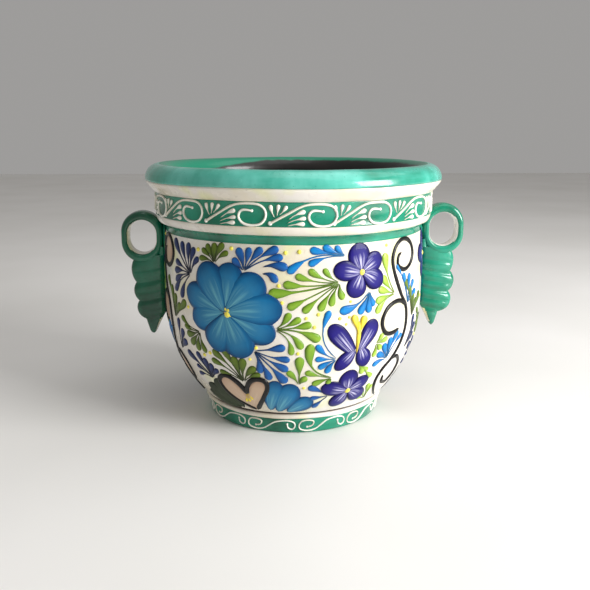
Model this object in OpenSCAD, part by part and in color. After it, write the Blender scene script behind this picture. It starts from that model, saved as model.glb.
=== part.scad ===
// Glazed earthenware planter with a rolled rim, a scrolled collar and two loop handles.
// Millimetres, +Z up. The origin is the middle of the circle that the foot stands on,
// +X points to the right handle and -Y to the front.

/* [Overall] */
// Outside diameter of the rolled rim
rim_d = 304; // [260:1:380]
// Height from the table to the top of the rim
total_h = 261; // [215:1:330]
// Thickness of the thrown wall
wall_t = 9; // [7:0.5:12]

/* [Rim] */
// Radius of the rolled lip's cross-section
roll_r = 14.2; // [11:0.1:18]
// Height of the white flare under the lip
flare_h = 12.3; // [9:0.1:16]
// How far the lip stands out from the collar
rim_overhang = 9.5; // [6:0.5:14]

/* [Collar] */
// Height of the straight collar that carries the scrollwork
frieze_h = 22; // [16:0.5:30]
// Height of the rounded white moulding under the collar
moulding_h = 8; // [5:0.5:12]
// How far the moulding steps in from the collar
moulding_step = 4; // [2:0.5:6]
// Height of the green cove that runs down into the belly
cove_h = 9; // [6:0.5:14]
// How far the cove steps in from the moulding
cove_step = 5.5; // [3:0.5:8]

/* [Belly] */
// How far the belly swells past its own mouth
belly_bulge = 2; // [1:0.5:12]
// Height of the widest ring of the belly above its lowest edge
belly_widest_h = 104; // [70:1:125]

/* [Foot] */
// Diameter of the circle that the foot stands on
foot_d = 182; // [150:1:220]
// How far the foot band leans out towards its top
foot_lean = 2.5; // [0:0.5:6]
// Height of the foot band
foot_h = 16; // [12:0.5:24]
// Thickness of the foot ring where it meets the table
foot_t = 11; // [8:0.5:16]
// Height of the raised bead above the foot band
bead_h = 5; // [3:0.5:8]
// How far the bead stands out from the foot band
bead_out = 2; // [1:0.5:4]
// Thickness of the clay floor
floor_t = 10; // [7:0.5:13]
// Diameter of the drain hole in the floor
drain_d = 18; // [10:1:30]

/* [Handles] */
// Width of the hole in a handle loop
eye_w = 30; // [24:1:38]
// Height of the hole in a handle loop
eye_h = 36; // [30:1:46]
// Thickness of the loop's clay strap at its side
strap_t = 7.2; // [5:0.2:11]
// How much thicker the strap is at the top and bottom of the loop
strap_extra = 2; // [0:0.5:5]
// Width of the strap from front to back
strap_w = 22; // [16:1:30]
// Width of the hanging tail from front to back
tail_w = 20; // [14:1:28]
// Clay left between the belly and the hole
eye_gap = 8.5; // [7:0.5:16]
// Thickness of the luting strip at the widest ring of the belly
luting_t = 4.5; // [3:0.5:7]
// Width of the luting strip from front to back
luting_w = 25; // [20:1:34]
// How far below the top of the collar the right eye's centre is
eye_drop = 42; // [34:1:60]
// How much lower the left handle was set than the right one
left_handle_drop = 7; // [0:0.5:12]

/* [Slip scrollwork] */
// How far the trailed slip stands proud of the clay
slip_h = 1.2; // [0.6:0.1:2]
// Width of the trailed line on the collar
slip_w = 2; // [1.2:0.1:3]
// Width of the finer line on the foot
foot_slip_w = 1.5; // [1:0.1:2]
// Scrolls round the collar
collar_scrolls = 15; // [10:1:15]
// Scrolls round the foot
foot_scrolls = 11; // [8:1:11]

/* [Hidden] */
$fn = 96;
// Facets on the belly's two wide arcs
arc_fn = 720;

// Radii, from the rim inwards and down
rim_r = rim_d / 2;
collar_r = rim_r - rim_overhang;
moulding_r = collar_r - moulding_step;
mouth_r = moulding_r - cove_step;
belly_r = mouth_r + belly_bulge;
roll_x = rim_r - roll_r;
foot_r = foot_d / 2;
foot_top_r = foot_r + foot_lean;
floor_r = foot_r - foot_t;
belly_foot_r = foot_top_r + 1;

// Heights, from the table up and from the rim down
bead_z = foot_h;
belly_z = bead_z + bead_h;
roll_z = total_h - roll_r;
flare_z = roll_z - flare_h;
frieze_z = flare_z - frieze_h;
moulding_z = frieze_z - moulding_h;
mouth_z = moulding_z - cove_h;
widest_z = belly_z + belly_widest_h;

// Radii of the belly's two arcs, which are both upright at its widest ring
function sag_radius(inset, run) = (inset * inset + run * run) / (2 * inset);
low_arc_r = sag_radius(belly_r - belly_foot_r, widest_z - belly_z);
high_arc_r = sag_radius(belly_bulge, mouth_z - widest_z);

// Inside radii where the clay rings meet
roll_in_r = roll_x - roll_r;
collar_in_r = collar_r - wall_t;
moulding_in_r = moulding_r - wall_t;
mouth_in_r = mouth_r - wall_t;

// Handle places, measured from the middle of the loop's eye
eye_x = belly_r + eye_gap + eye_w / 2;
right_eye_z = flare_z - eye_drop;
left_eye_z = right_eye_z - left_handle_drop;
loop_w = eye_w + 2 * strap_t;
loop_h = eye_h + 2 * (strap_t + strap_extra);
luting_x = belly_r + luting_t - eye_x;

module block(x_lo, x_hi, z_lo, z_hi)
    translate([x_lo, z_lo]) square([x_hi - x_lo, z_hi - z_lo]);

// ---- Turned clay -------------------------------------------------------

// Half outlines of the belly under and over its widest ring, set in by inset
module belly_low(inset)
    intersection() {
        translate([belly_r - low_arc_r, widest_z]) circle(r = low_arc_r - inset, $fn = arc_fn);
        block(0, belly_r + 1, belly_z, widest_z);
    }

module belly_high(inset)
    intersection() {
        translate([belly_r - high_arc_r, widest_z]) circle(r = high_arc_r - inset, $fn = arc_fn);
        block(0, belly_r + 1, widest_z, mouth_z);
    }

// The same outer face as short straight steps, which the luting strips are cut to
function arc_steps(x, r, from_z, to_z) = [
    for (k = [0:60])
        let (z = from_z + (to_z - from_z) * k / 60)
        [x - r + sqrt(r * r - (z - widest_z) * (z - widest_z)), z]
];

module belly_body()
    polygon(concat(
        [[0, mouth_z], [0, belly_z]],
        arc_steps(belly_r, low_arc_r, belly_z, widest_z),
        arc_steps(belly_r, high_arc_r, widest_z + 0.5, mouth_z)
    ));

module cove_outline()
    difference() {
        block(0, moulding_r, mouth_z, moulding_z);
        translate([mouth_r + sag_radius(cove_step, cove_h), mouth_z])
            circle(r = sag_radius(cove_step, cove_h));
    }

module moulding_outline()
    intersection() {
        block(0, collar_r, moulding_z, frieze_z);
        translate([collar_r - sag_radius(moulding_step, moulding_h), frieze_z])
            circle(r = sag_radius(moulding_step, moulding_h));
    }

module flare_outline()
    polygon([[0, flare_z], [collar_r, flare_z], [rim_r, roll_z], [0, roll_z]]);

// Cuts a ring out of an outline: the bore tapers from low_r to high_r
module bored(low_r, low_z, high_r, high_z)
    rotate_extrude()
        difference() {
            children();
            polygon([
                [-1, low_z - 1], [low_r, low_z - 1], [low_r, low_z], [high_r, high_z],
                [high_r, high_z + 1], [-1, high_z + 1]
            ]);
        }

// The solid inside the collar's outer face, for cutting the loops to fit it
module collar_body()
    rotate_extrude($fn = arc_fn) {
        cove_outline();
        moulding_outline();
        block(0, collar_r, frieze_z, flare_z);
    }

module floor_slab()
    color("peru")
        translate([0, 0, foot_h - floor_t])
            difference() {
                cylinder(r = floor_r, h = floor_t);
                translate([0, 0, -1]) cylinder(d = drain_d, h = floor_t + 2);
            }

module foot_ring()
    color("mediumaquamarine")
        rotate_extrude()
            polygon([
                [floor_r, 0], [foot_r, 0], [foot_top_r, foot_h], [floor_r, foot_h]
            ]);

// The bead sits in a step that is cut into the lowest edge of the belly
module foot_bead()
    color("ivory")
        rotate_extrude()
            difference() {
                translate([foot_top_r + bead_out - bead_h / 2, bead_z + bead_h / 2])
                    circle(d = bead_h);
                block(0, belly_foot_r - bead_h / 2, bead_z - 1, belly_z + 1);
            }

module belly_wall()
    color("ivory")
        rotate_extrude() {
            difference() {
                belly_low(0);
                belly_low(wall_t);
            }
            difference() {
                belly_high(0);
                belly_high(wall_t);
            }
            block(belly_foot_r - wall_t, belly_foot_r - bead_h / 2, bead_z, belly_z);
        }

module shoulder_cove()
    color("seagreen")
        bored(mouth_in_r, mouth_z, moulding_in_r, moulding_z) cove_outline();

module collar_moulding()
    color("ivory")
        bored(moulding_in_r, moulding_z, collar_in_r, frieze_z) moulding_outline();

module collar_wall()
    color("seagreen")
        bored(collar_in_r, frieze_z, collar_in_r, flare_z)
            block(0, collar_r, frieze_z, flare_z);

module rim_flare()
    color("ivory")
        bored(collar_in_r, flare_z, roll_in_r, roll_z) flare_outline();

module rim_roll()
    color("mediumaquamarine")
        rotate_extrude()
            intersection() {
                translate([roll_x, roll_z]) circle(r = roll_r);
                block(roll_in_r - 1, rim_r + 1, roll_z, total_h + 1);
            }

// ---- Handles ------------------------------------------------------------
// A handle is drawn in its own upright plane, with the eye's centre at 0, 0,
// +X away from the planter and +Y up.

module oval(w, h) {
    if (w == h)
        circle(d = w);
    else {
        d = min(w, h);
        for (s = [-1, 1]) translate(s * [w - d, h - d] / 2) circle(d = d);
        square([w < h ? w : w - d, w < h ? h - d : h], center = true);
    }
}

// Lobes of the tail, from the loop down: centre's X, centre's drop, radius
tail_lobes = [[-10.3, 34, 22], [-3.8, 56, 14.8], [-4, 76, 13.2]];
tail_low = 84;
tail_tip = [-7.6, -102.2];
tail_tip_r = 2.6;

module tail_outline() {
    for (lobe = tail_lobes)
        translate([lobe[0], -lobe[1]]) circle(r = lobe[2]);
    translate(tail_tip) circle(r = tail_tip_r);
    polygon([
        [luting_x, -tail_low + 1], [-15, -tail_low - 9], tail_tip - [tail_tip_r - 0.2, 1],
        tail_tip + [tail_tip_r - 0.2, -1], [0, -tail_low], [0, -12], [luting_x, -12]
    ]);
}

// Stands an outline up on one side: side is 1 for the right handle, -1 for the left
module placed(side, width)
    translate([side * eye_x, width / 2, side > 0 ? right_eye_z : left_eye_z])
        rotate([90, 0, 0])
            mirror([side > 0 ? 0 : 1, 0, 0])
                linear_extrude(height = width) children();

module handle_loop(side)
    color("seagreen")
        difference() {
            placed(side, strap_w)
                difference() {
                    oval(loop_w, loop_h);
                    oval(eye_w, eye_h);
                }
            luting_strip(side, strap_w + 2);
            collar_body();
        }

module handle_tail(side)
    color("seagreen")
        placed(side, tail_w)
            intersection() {
                difference() {
                    tail_outline();
                    oval(loop_w, loop_h);
                }
                translate([luting_x, -120]) square([80, 120]);
            }

// A strip of soft clay between the belly and the handle, up to the moulding
module luting_strip(side, width)
    translate([side > 0 ? 0 : -eye_x - luting_x, -width / 2, left_or_right_low(side)])
        cube([eye_x + luting_x, width, moulding_z - left_or_right_low(side)]);

function left_or_right_low(side) = (side > 0 ? right_eye_z : left_eye_z) - tail_low;

module handle_luting(side)
    color("bisque")
        difference() {
            luting_strip(side, luting_w);
            rotate_extrude($fn = arc_fn) {
                belly_body();
                cove_outline();
            }
        }

// ---- Slip scrollwork ----------------------------------------------------
// A scroll is drawn as a flat line, with +X to the right and +Y up from the middle
// of its band, then swept along the wall as a low ridge.

// A smooth line through the points p, with n steps from each one to the next
function through(p, n) = concat(
    [for (i = [0:len(p) - 2]) for (k = [0:n - 1])
        let (
            t = k / n,
            a = p[max(i - 1, 0)], b = p[i], c = p[i + 1], d = p[min(i + 2, len(p) - 1)]
        )
        b + ((c - a) * t + (2 * a - 5 * b + 4 * c - d) * t * t
             + (3 * b - a - 3 * c + d) * t * t * t) / 2],
    [p[len(p) - 1]]
);

// From the foot of the stem, over the top and round the curl to its free end
collar_line = through([
    [-46, -7.5], [-39, -3.5], [-30, 1.5], [-22, 6], [-14, 8.8], [-4, 9.6], [6, 8.6],
    [11.5, 4.5], [12.3, -2], [8, -7.8], [0, -9.5], [-8, -8], [-12.3, -3.2],
    [-11.5, 1.8], [-7.5, 4], [0, 3.2]
], 2);

// From the middle of the left curl, round it and over into the right curl
foot_line = through([
    [-16, -1.5], [-11, 0], [-9.5, 4], [-14, 5.8], [-21, 5.2], [-24.3, 1], [-23, -3.5],
    [-16, -5.4], [-8, -4], [-2, 0], [4, 4], [12, 5.8], [19, 5.6], [23.6, 3.2],
    [24, -1], [21.2, -3.6], [17.5, -2], [16.5, 2]
], 2);

// The point at p on the wall, side_w along the wall from the line and out mm proud
function on_wall(p, i, side_w, low_r, high_r, band_z, half_h, turn, out) =
    let (
        a = p[max(i - 1, 0)], b = p[min(i + 1, len(p) - 1)],
        n = [a[1] - b[1], b[0] - a[0]] / norm(b - a),
        q = p[i] + side_w * n,
        r = low_r + (high_r - low_r) * (q[1] + half_h) / (2 * half_h),
        t = turn + q[0] / r * 180 / PI
    )
    [(r + out) * sin(t), -(r + out) * cos(t), band_z + q[1]];

// The same line of slip swept count times round a wall that runs from low_r to high_r
module swept_band(line, width, count, first, low_r, high_r, band_z, half_h) {
    n = len(line);
    corners = [[-width / 2, 0], [width / 2, 0], [width / 4, slip_h], [-width / 4, slip_h]];
    polyhedron(
        points = [
            for (k = [0:count - 1]) for (i = [0:n - 1]) for (c = corners)
                on_wall(line, i, c[0], low_r, high_r, band_z, half_h,
                        first + k * 360 / count, c[1])
        ],
        faces = concat(
            [for (k = [0:count - 1]) for (i = [0:n - 2]) for (j = [0:3]) for (h = [0, 1])
                let (o = 4 * (k * n + i), m = (j + 1) % 4)
                h == 0 ? [o + j, o + 4 + j, o + 4 + m] : [o + j, o + 4 + m, o + m]],
            [for (k = [0:count - 1]) let (o = 4 * k * n) [o, o + 1, o + 2, o + 3]],
            [for (k = [0:count - 1]) let (o = 4 * (k * n + n - 1)) [o + 3, o + 2, o + 1, o]]
        )
    );
}

module collar_scrollwork()
    color("ivory")
        swept_band(collar_line, slip_w, collar_scrolls, 8.5, collar_r, collar_r,
                   frieze_z + frieze_h / 2, frieze_h / 2);

module foot_scrollwork()
    color("ivory")
        swept_band(foot_line, foot_slip_w, foot_scrolls, -16, foot_r, foot_top_r,
                   foot_h / 2, foot_h / 2);

floor_slab();
foot_ring();
foot_bead();
belly_wall();
shoulder_cove();
collar_moulding();
collar_wall();
rim_flare();
rim_roll();
handle_loop(1);  // right_handle_loop
handle_tail(1);  // right_handle_tail
handle_luting(1);  // right_handle_luting
handle_loop(-1);  // left_handle_loop
handle_tail(-1);  // left_handle_tail
handle_luting(-1);  // left_handle_luting
collar_scrollwork();
foot_scrollwork();
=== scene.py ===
"""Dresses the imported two-handled planter: glazes, raised enamel painting, slip scrolls, handles, light and camera.

Lengths are metres in the row frame: +Z up, +X to the right handle, -Y to the front. Drawings on a wall are in
millimetres: x along the wall to the right, y up it.
"""
import logging
import math
from dataclasses import dataclass, field
from enum import Enum
from typing import Callable, Sequence

import bmesh
import bpy
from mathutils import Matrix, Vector, noise


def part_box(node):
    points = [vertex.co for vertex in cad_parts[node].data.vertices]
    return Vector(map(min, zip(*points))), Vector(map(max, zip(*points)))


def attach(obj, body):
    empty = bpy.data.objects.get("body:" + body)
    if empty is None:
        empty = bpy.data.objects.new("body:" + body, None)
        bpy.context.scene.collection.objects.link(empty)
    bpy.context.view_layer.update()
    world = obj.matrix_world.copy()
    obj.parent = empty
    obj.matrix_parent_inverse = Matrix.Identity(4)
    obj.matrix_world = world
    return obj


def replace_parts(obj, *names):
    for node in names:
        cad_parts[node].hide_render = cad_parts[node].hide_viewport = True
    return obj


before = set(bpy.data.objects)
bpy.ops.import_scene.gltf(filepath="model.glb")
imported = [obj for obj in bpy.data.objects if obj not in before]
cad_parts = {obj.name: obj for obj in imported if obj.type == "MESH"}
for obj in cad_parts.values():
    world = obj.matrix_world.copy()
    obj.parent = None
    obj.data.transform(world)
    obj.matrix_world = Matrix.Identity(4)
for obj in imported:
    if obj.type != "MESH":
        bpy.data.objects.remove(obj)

LOG = logging.getLogger("planter")
MM = 0.001
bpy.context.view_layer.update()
PAINT_TURN = math.radians(-2)
REPEATS = 3
WARP_DRAW = 1795128196  # which of the kiln's many possible warps this pot has; without it every run gives another

Pair = tuple[float, float]
Colour = tuple[float, float, float, float]


def srgb(red: int, green: int, blue: int) -> Colour:
    """Turns a colour as a painter would match it on a screen into the linear one that a shader takes.

    Args:
        red: 0 to 255.
        green: 0 to 255.
        blue: 0 to 255.

    Returns:
        Linear red, green and blue, and an alpha of 1.
    """
    parts = [c / 255 for c in (red, green, blue)]
    linear = [c / 12.92 if c <= 0.04045 else ((c + 0.055) / 1.055) ** 2.4 for c in parts]
    return (linear[0], linear[1], linear[2], 1.0)


def hand(spot: Vector) -> Vector:
    """Moves a point as an uneven hand and the kiln would: a slow warp of under a millimetre.

    Args:
        spot: where the point would be on a perfect pot.

    Returns:
        Where it is on this one. The foot stays flat on the table.
    """
    slow = noise.noise_vector(spot * 7) * 0.9 * MM
    quick = noise.noise_vector(spot * 32 + Vector((5, 2, 9))) * 0.28 * MM
    return spot + (slow + quick) * max(0.0, min(1.0, spot.z / 0.014))


# ---- Finishes ----------------------------------------------------------------------------------


class Recipe:
    """A material's node tree, with short calls for the nodes that the finishes share."""

    def __init__(self, name: str, rough: float, coat: float = 0.0, shine: float = 0.38) -> None:
        """Starts a material.

        Args:
            name: the material's name.
            rough: the shader's roughness where nothing drives it.
            coat: how much clear glaze lies over the colour, 0 to 1.
            shine: how strongly the colour coat itself mirrors, 0.5 is plain glass.
        """
        self.material = bpy.data.materials.new(name)
        self.material.use_nodes = True
        self.tree = self.material.node_tree
        self.shader = self.tree.nodes["Principled BSDF"]
        self.shader.inputs["Roughness"].default_value = rough
        self.shader.inputs["Coat Weight"].default_value = coat
        self.shader.inputs["Specular IOR Level"].default_value = shine
        self.shader.inputs["Coat Roughness"].default_value = 0.06
        self.places: dict[str, bpy.types.NodeSocket] = {}

    def put(self, kind: str, **inputs: object) -> bpy.types.Node:
        """Adds a node.

        Args:
            kind: the node's type name.
            inputs: values or sockets by input name, with spaces as underscores.

        Returns:
            The node.
        """
        node = self.tree.nodes.new(kind)
        for name, value in inputs.items():
            self.feed(node.inputs[name.replace("_", " ")], value)
        return node

    def feed(self, socket: bpy.types.NodeSocket, value: object) -> None:
        """Links a socket to an input, or sets the input's own value.

        Args:
            socket: the input.
            value: a socket, or a plain value.
        """
        if isinstance(value, bpy.types.NodeSocket):
            self.tree.links.new(value, socket)
        else:
            socket.default_value = value

    def place(self, source: str) -> bpy.types.NodeSocket:
        """One output of the Texture Coordinate node, which is made once.

        Args:
            source: the output's name, Object or UV.

        Returns:
            The output.
        """
        if source not in self.places:
            self.places[source] = self.put("ShaderNodeTexCoord").outputs[source]
        return self.places[source]

    def grain(
        self, scale: float, detail: float = 3, stretch: Sequence[float] = (1, 1, 1), source: str = "Object"
    ) -> bpy.types.NodeSocket:
        """Cloudy noise from 0 to 1.

        Args:
            scale: clouds per metre, or per unit of the UV map.
            detail: how many finer layers it has.
            stretch: how much denser it is along each axis.
            source: Object or UV.

        Returns:
            The noise's output.
        """
        mapping = self.put("ShaderNodeMapping", Vector=self.place(source))
        mapping.inputs["Scale"].default_value = stretch
        return self.put("ShaderNodeTexNoise", Vector=mapping.outputs[0], Scale=scale, Detail=detail).outputs[0]

    def steps(self, fac: bpy.types.NodeSocket, stops: Sequence[tuple[float, object]]) -> bpy.types.NodeSocket:
        """A colour ramp.

        Args:
            fac: what drives it.
            stops: pairs of place and colour, or place and grey.

        Returns:
            The ramp's colour.
        """
        node = self.put("ShaderNodeValToRGB", Fac=fac)
        ramp = node.color_ramp
        for index, (where, value) in enumerate(stops):
            stop = ramp.elements[index] if index < 2 else ramp.elements.new(where)
            stop.position = where
            stop.color = value if isinstance(value, tuple) else (value, value, value, 1.0)
        return node.outputs[0]

    def maths(self, sort: str, a: object, b: object) -> bpy.types.NodeSocket:
        """One arithmetic step, kept between 0 and 1.

        Args:
            sort: the operation's name.
            a: the first number or socket.
            b: the second number or socket.

        Returns:
            The result.
        """
        node = self.tree.nodes.new("ShaderNodeMath")
        node.operation, node.use_clamp = sort, True
        self.feed(node.inputs[0], a)
        self.feed(node.inputs[1], b)
        return node.outputs[0]

    def blend(self, fac: object, low: object, high: object) -> bpy.types.NodeSocket:
        """Mixes two colours.

        Args:
            fac: the share of the second one, 0 to 1.
            low: the colour where it is 0.
            high: the colour where it is 1.

        Returns:
            The mixed colour.
        """
        node = self.tree.nodes.new("ShaderNodeMix")
        node.data_type = "RGBA"
        for index, value in ((0, fac), (6, low), (7, high)):
            self.feed(node.inputs[index], value)
        return node.outputs[2]

    def along(self) -> tuple[bpy.types.NodeSocket, bpy.types.NodeSocket, bpy.types.NodeSocket]:
        """Reads a stroke's own UV map.

        Returns:
            Its places from middle line to edge, from tail to head, and from left to right, each 0 to 1.
        """
        parts = self.put("ShaderNodeSeparateXYZ", Vector=self.place("UV"))
        node = self.tree.nodes.new("ShaderNodeMath")
        node.operation = "MULTIPLY_ADD"
        self.feed(node.inputs[0], parts.outputs[0])
        node.inputs[1].default_value, node.inputs[2].default_value = 2, -1
        side = self.tree.nodes.new("ShaderNodeMath")
        side.operation = "ABSOLUTE"
        self.feed(side.inputs[0], node.outputs[0])
        return side.outputs[0], parts.outputs[1], parts.outputs[0]

    def raise_by(self, height: bpy.types.NodeSocket, distance: float, strength: float = 1.0) -> None:
        """Gives the surface fine relief.

        Args:
            height: the relief's height, 0 to 1.
            distance: what 1 stands for, in metres.
            strength: how strongly it shows, 0 to 1.
        """
        bump = self.put("ShaderNodeBump", Height=height, Distance=distance, Strength=strength)
        self.feed(self.shader.inputs["Normal"], bump.outputs[0])

    def done(self, colour: object, rough: object = None) -> bpy.types.Material:
        """Links the last sockets.

        Args:
            colour: the surface's colour.
            rough: its roughness, if something drives it.

        Returns:
            The finished material.
        """
        self.feed(self.shader.inputs["Base Color"], colour)
        if rough is not None:
            self.feed(self.shader.inputs["Roughness"], rough)
        return self.material


@dataclass(frozen=True)
class CopperGlaze:
    """Copper-green glaze: deeper where it pooled, paler where the brush dragged, with a few iron specks."""

    name: str = "copper_green_glaze"
    pool: Colour = srgb(4, 82, 58)
    body: Colour = srgb(10, 124, 94)
    thin: Colour = srgb(30, 150, 122)

    def make(self) -> bpy.types.Material:
        """Sets up the nodes.

        Returns:
            The glaze as a material.
        """
        mix = Recipe(self.name, 0.25, 0.4)
        clouds = mix.steps(mix.grain(26, 4, (1, 1, 0.5)), [(0.33, self.pool), (0.5, self.body), (0.72, self.thin)])
        drag = mix.steps(mix.grain(140, 3, (0.2, 0.2, 1.5)), [(0.35, 0.0), (0.75, 1.0)])
        colour = mix.blend(mix.maths("MULTIPLY", drag, 0.3), clouds, self.thin)
        specks = mix.steps(mix.grain(520, 1), [(0.24, 1.0), (0.27, 0.0)])
        colour = mix.blend(mix.maths("MULTIPLY", specks, 0.6), colour, self.pool)
        mix.raise_by(mix.grain(90, 3), 0.0006, 0.35)
        return mix.done(colour, mix.steps(mix.grain(60, 2), [(0.3, 0.14), (0.7, 0.28)]))


@dataclass(frozen=True)
class CreamGround:
    """The milky tin ground that the flowers are painted on, with washes of warm yellow and faint brush marks."""

    name: str = "cream_ground_glaze"
    milk: Colour = srgb(236, 231, 224)
    warm: Colour = srgb(226, 216, 192)
    wash: Colour = srgb(226, 230, 152)

    def make(self) -> bpy.types.Material:
        """Sets up the nodes.

        Returns:
            The ground as a material.
        """
        mix = Recipe(self.name, 0.3, 0.25)
        base = mix.steps(mix.grain(14, 4), [(0.35, self.warm), (0.6, self.milk)])
        patches = mix.steps(mix.grain(24, 2), [(0.56, 0.0), (0.72, 1.0)])
        colour = mix.blend(mix.maths("MULTIPLY", patches, 0.6), base, self.wash)
        grime = mix.steps(mix.grain(230, 4), [(0.25, 1.0), (0.36, 0.0)])
        colour = mix.blend(mix.maths("MULTIPLY", grime, 0.22), colour, srgb(150, 130, 100))
        mix.raise_by(mix.grain(70, 4), 0.0005, 0.3)
        return mix.done(colour, mix.steps(mix.grain(45, 3), [(0.3, 0.18), (0.7, 0.34)]))


@dataclass(frozen=True)
class ShadedBareClay:
    """Fired red clay with throwing rings, salt bloom and grit, darkened to a near-black brown as painted shade for
    the pot's inside.
    """

    name: str = "bare_clay_painted_shade"
    # Both clay stops are far darker than fired red clay: the darkening is painted shade.
    dark: Colour = srgb(40, 27, 23)
    light: Colour = srgb(78, 51, 41)

    def make(self) -> bpy.types.Material:
        """Sets up the nodes.

        Returns:
            The clay as a material.
        """
        mix = Recipe(self.name, 0.85)
        base = mix.steps(mix.grain(30, 5), [(0.3, self.dark), (0.7, self.light)])
        bloom = mix.steps(mix.grain(55, 5), [(0.58, 0.0), (0.75, 1.0)])
        colour = mix.blend(mix.maths("MULTIPLY", bloom, 0.25), base, srgb(196, 170, 146))
        rings = mix.grain(160, 2, (0.05, 0.05, 1))
        mix.raise_by(mix.blend(0.4, rings, mix.grain(700, 3)), 0.0012, 0.6)
        return mix.done(colour)


@dataclass(frozen=True)
class LipLightAndShade:
    """The lip's inner side, where green glaze thins out: far down on the left and soon elsewhere. The extra reach on
    the left is painted light, where that inner wall faces the light, and the near-black below the glaze is painted
    shade inside the mouth.
    """

    name: str = "lip_glaze_painted_light_and_shade"
    green: Colour = srgb(18, 120, 92)
    # Near-black with a mottle below the glaze: painted shade in place of bare clay deep in the mouth.
    clay: Colour = srgb(16, 17, 16)
    shade_mottle: Colour = srgb(34, 30, 27)

    def make(self) -> bpy.types.Material:
        """Sets up the nodes.

        Returns:
            The lip's glaze with its painted light and shade, as a material.
        """
        mix = Recipe(self.name, 0.35, 0.2)
        spot = mix.put("ShaderNodeSeparateXYZ", Vector=mix.place("Object"))
        across = mix.put("ShaderNodeMapRange", Value=spot.outputs[0], From_Min=-0.14, From_Max=-0.03).outputs[0]
        # Painted light: the glaze reaches further down on the left, where the inner wall faces the light.
        left = mix.steps(across, [(0.0, 0.6), (1.0, 0.0)])
        height = mix.put("ShaderNodeMapRange", Value=spot.outputs[2], From_Min=0.238, From_Max=0.2615).outputs[0]
        ragged = mix.maths("MULTIPLY", mix.grain(60, 3), 0.16)
        glaze_and_light_mask = mix.steps(mix.maths("ADD", mix.maths("ADD", height, left), ragged), [(0.93, 0.0), (1.0, 1.0)])
        # Painted shade: the near-black stands for the shade below the glaze.
        bare = mix.steps(mix.grain(40, 4), [(0.3, self.clay), (0.8, self.shade_mottle)])
        colour = mix.blend(glaze_and_light_mask, bare, self.green)
        mix.raise_by(mix.grain(120, 3), 0.0006, 0.4)
        return mix.done(colour)


class Enamel(Enum):
    """The stroke colours: thin tail, full head, and a lighter colour that makes the brush streaks and also a painted
    highlight along the middle of the domed bead; the bead's edges darken as painted shade.
    """

    # Blues run NAVY, COBALT, AZURE and greens OLIVE, LEAF, LIME from the garden's left to its right: partly
    # different paints, partly painted shade in the left copies and painted light in the right ones.
    AZURE = (srgb(26, 84, 124), srgb(5, 102, 176), srgb(16, 142, 206))
    COBALT = (srgb(18, 44, 78), srgb(12, 72, 140), srgb(30, 108, 180))
    NAVY = (srgb(22, 26, 40), srgb(18, 34, 78), srgb(40, 60, 116))
    LIME = (srgb(100, 122, 40), srgb(142, 178, 52), srgb(186, 214, 98))
    LEAF = (srgb(66, 88, 30), srgb(100, 142, 30), srgb(146, 182, 60))
    OLIVE = (srgb(34, 42, 14), srgb(74, 98, 18), srgb(112, 134, 40))
    YELLOW = (srgb(190, 160, 30), srgb(232, 208, 40), srgb(248, 238, 110))
    BLACK = (srgb(8, 7, 7), srgb(10, 8, 8), srgb(18, 16, 16))
    IVORY = (srgb(214, 208, 190), srgb(238, 234, 220), srgb(250, 249, 242))

    def make(self) -> bpy.types.Material:
        """Sets up the nodes, which shade along the stroke's own UV map.

        Returns:
            The enamel as a material.
        """
        tail, head, high = self.value
        mix = Recipe(f"enamel_{self.name.lower()}", 0.32, 0.18, 0.22)
        side, run, _ = mix.along()
        colour = mix.steps(run, [(0.08, tail), (0.42, head)])
        # Painted highlight: the head lightens along its middle, where the dome stands highest.
        middle = mix.steps(side, [(0.1, 1.0), (0.85, 0.0)])
        crown = mix.maths("MULTIPLY", middle, mix.steps(run, [(0.25, 0.05), (0.55, 0.7)]))
        colour = mix.blend(crown, colour, high)
        streak = mix.steps(mix.grain(1.0, 3, (5, 1.2, 1), "UV"), [(0.4, 0.0), (0.7, 1.0)])
        colour = mix.blend(mix.maths("MULTIPLY", streak, 0.28), colour, high)
        # Painted shade: the bead darkens towards its edges.
        edge = mix.steps(side, [(0.7, 0.0), (1.0, 0.45)])
        colour = mix.blend(edge, colour, tail)
        mix.raise_by(mix.grain(160, 3), 0.0003, 0.35)
        return mix.done(colour, mix.steps(mix.grain(120, 2), [(0.3, 0.26), (0.7, 0.42)]))


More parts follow.
